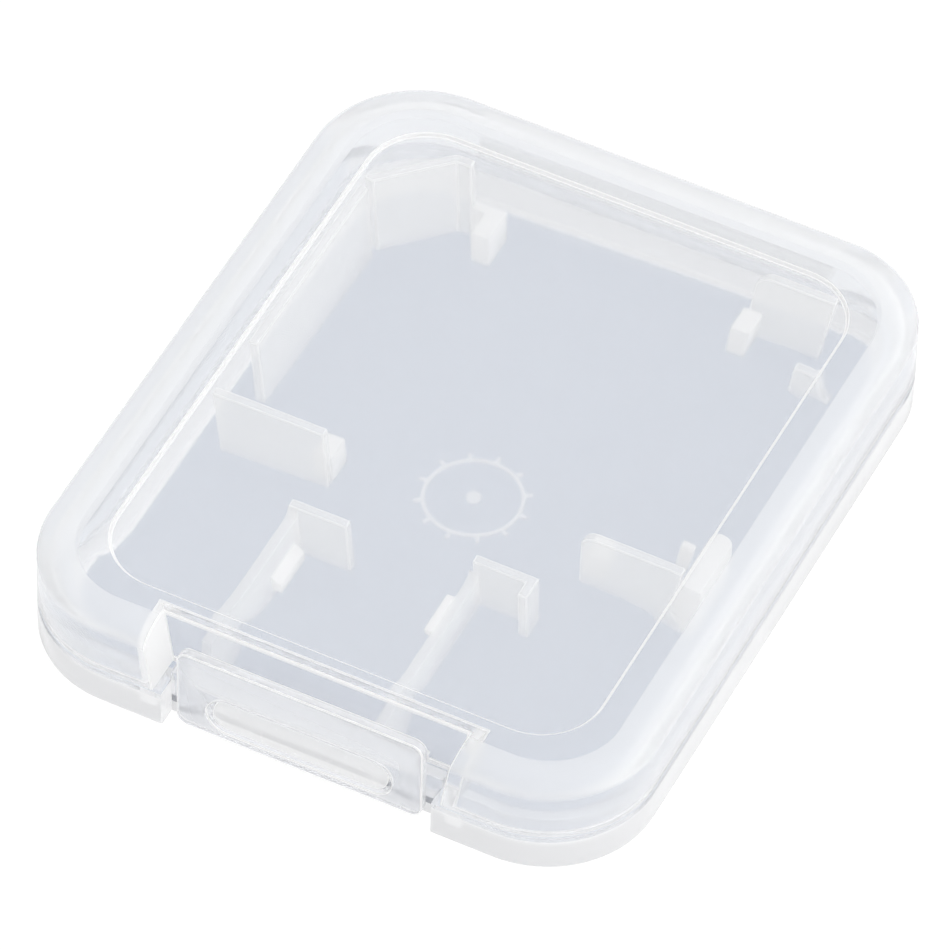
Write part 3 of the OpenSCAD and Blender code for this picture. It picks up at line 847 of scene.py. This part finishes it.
# %% Lay the table
CARD_WHITE = 0.93
SEEN_SHADE = 0.5
SEEN_GLOW = 0.56
bpy.ops.object.select_all(action="DESELECT")
bpy.ops.mesh.primitive_plane_add(size=4, location=(0, 0, -0.02 * MM))
table = bpy.context.active_object
table.name = "table"
white = bpy.data.materials.new("table_white")
white.use_nodes = True
nodes, links = white.node_tree.nodes, white.node_tree.links
nodes.remove(nodes["Principled BSDF"])
plain = nodes.new("ShaderNodeBsdfDiffuse")
plain.inputs["Color"].default_value = (CARD_WHITE, CARD_WHITE, CARD_WHITE, 1)
seen = nodes.new("ShaderNodeBsdfDiffuse")
seen.inputs["Color"].default_value = (SEEN_SHADE, SEEN_SHADE, SEEN_SHADE, 1)
glow = nodes.new("ShaderNodeEmission")
glow.inputs["Color"].default_value = (1, 1, 1, 1)
glow.inputs["Strength"].default_value = SEEN_GLOW
both = nodes.new("ShaderNodeAddShader")
links.new(seen.outputs[0], both.inputs[0])
links.new(glow.outputs[0], both.inputs[1])
path = nodes.new("ShaderNodeLightPath")
looked_at = path.outputs["Is Camera Ray"]
for ray in ("Is Glossy Ray", "Is Transmission Ray"):
    either = nodes.new("ShaderNodeMath")
    either.operation = "MAXIMUM"
    links.new(looked_at, either.inputs[0])
    links.new(path.outputs[ray], either.inputs[1])
    looked_at = either.outputs[0]
mix = nodes.new("ShaderNodeMixShader")
links.new(looked_at, mix.inputs[0])
links.new(plain.outputs[0], mix.inputs[1])
links.new(both.outputs[0], mix.inputs[2])
links.new(mix.outputs[0], nodes["Material Output"].inputs["Surface"])
table.data.materials.append(white)
print(table.name, "laid, with", white.name)

# %% [markdown]
# The light is soft and comes from all round, a little stronger from the right and
# above and weaker from the left and front. Several lamps could do that, but each
# would show as a hard spot in the plastic. So the brightness of the world changes
# slowly with direction, and one broad weak lamp adds a soft gleam. The camera sees
# the world as white.

# %% Set the light
ROOM_DIM, ROOM_BRIGHT = 0.6, 1.15
LAMP_SIZE, LAMP_POWER = 0.4, 0.15
world = bpy.data.worlds.new("soft_room")
bpy.context.scene.world = world
world.use_nodes = True
nodes, links = world.node_tree.nodes, world.node_tree.links
background = nodes["Background"]
background.inputs["Color"].default_value = (1, 1, 1, 1)
KEY_DIRECTION = Vector((0.75, 0.3, 0.55)).normalized()
direction = nodes.new("ShaderNodeTexCoord")
towards_key = nodes.new("ShaderNodeVectorMath")
towards_key.operation = "DOT_PRODUCT"
towards_key.inputs[1].default_value = KEY_DIRECTION
links.new(direction.outputs["Generated"], towards_key.inputs[0])
room = nodes.new("ShaderNodeMapRange")
room.inputs["From Min"].default_value = -1
room.inputs["To Min"].default_value = ROOM_DIM
room.inputs["To Max"].default_value = ROOM_BRIGHT
links.new(towards_key.outputs["Value"], room.inputs["Value"])
path = nodes.new("ShaderNodeLightPath")
strength = nodes.new("ShaderNodeMix")
strength.inputs["B"].default_value = 1.0
links.new(path.outputs["Is Camera Ray"], strength.inputs["Factor"])
links.new(room.outputs["Result"], strength.inputs["A"])
links.new(strength.outputs["Result"], background.inputs["Strength"])

LAMP_PLACE = Vector((0.35, 0.1, 0.4))
lamp = bpy.data.lights.new("softbox_right", "AREA")
lamp.size = LAMP_SIZE
lamp.energy = LAMP_POWER
holder = bpy.data.objects.new("softbox_right", lamp)
bpy.context.scene.collection.objects.link(holder)
holder.location = LAMP_PLACE
holder.rotation_euler = (-LAMP_PLACE).to_track_quat("-Z", "Y").to_euler()
print("world and", lamp.name, lamp.energy, "W")

# %% [markdown]
# The camera has a long lens and looks down from the front right, turned a little
# about its own axis. Its shift puts the case where the photograph has it. These
# values come from fitting the corners of the case, which is surer than the eye.

# %% Set the camera
AZIMUTH, ELEVATION, ROLL = math.radians(25.375), math.radians(48.667), math.radians(1.706)
DISTANCE = 0.6213
back = Vector((
    math.sin(AZIMUTH) * math.cos(ELEVATION),
    -math.cos(AZIMUTH) * math.cos(ELEVATION),
    math.sin(ELEVATION),
))
right = Vector((math.cos(AZIMUTH), math.sin(AZIMUTH), 0))
up = back.cross(right)
turned_right = math.cos(ROLL) * right + math.sin(ROLL) * up
turned_up = -math.sin(ROLL) * right + math.cos(ROLL) * up
camera_data = bpy.data.cameras.new("camera")
camera_data.sensor_width = 36
camera_data.lens = 374.4
camera_data.shift_x = -0.0059
camera_data.shift_y = 0.0303
camera_data.clip_start = 0.01
camera = bpy.data.objects.new("camera", camera_data)
bpy.context.scene.collection.objects.link(camera)
camera.matrix_world = Matrix((
    (turned_right.x, turned_up.x, back.x, back.x * DISTANCE),
    (turned_right.y, turned_up.y, back.y, back.y * DISTANCE),
    (turned_right.z, turned_up.z, back.z, back.z * DISTANCE),
    (0, 0, 0, 1),
))
scene = bpy.context.scene
scene.camera = camera
scene.view_settings.view_transform = "Standard"
print("lens", camera_data.lens, "mm at", DISTANCE, "m")

# %% [markdown]
# A look through the lid, the tray and the table passes many faces, so the render
# is allowed many steps.

# %% Allow many steps through clear faces
scene.cycles.transparent_max_bounces = 48
scene.cycles.max_bounces = 24
scene.cycles.transmission_bounces = 24
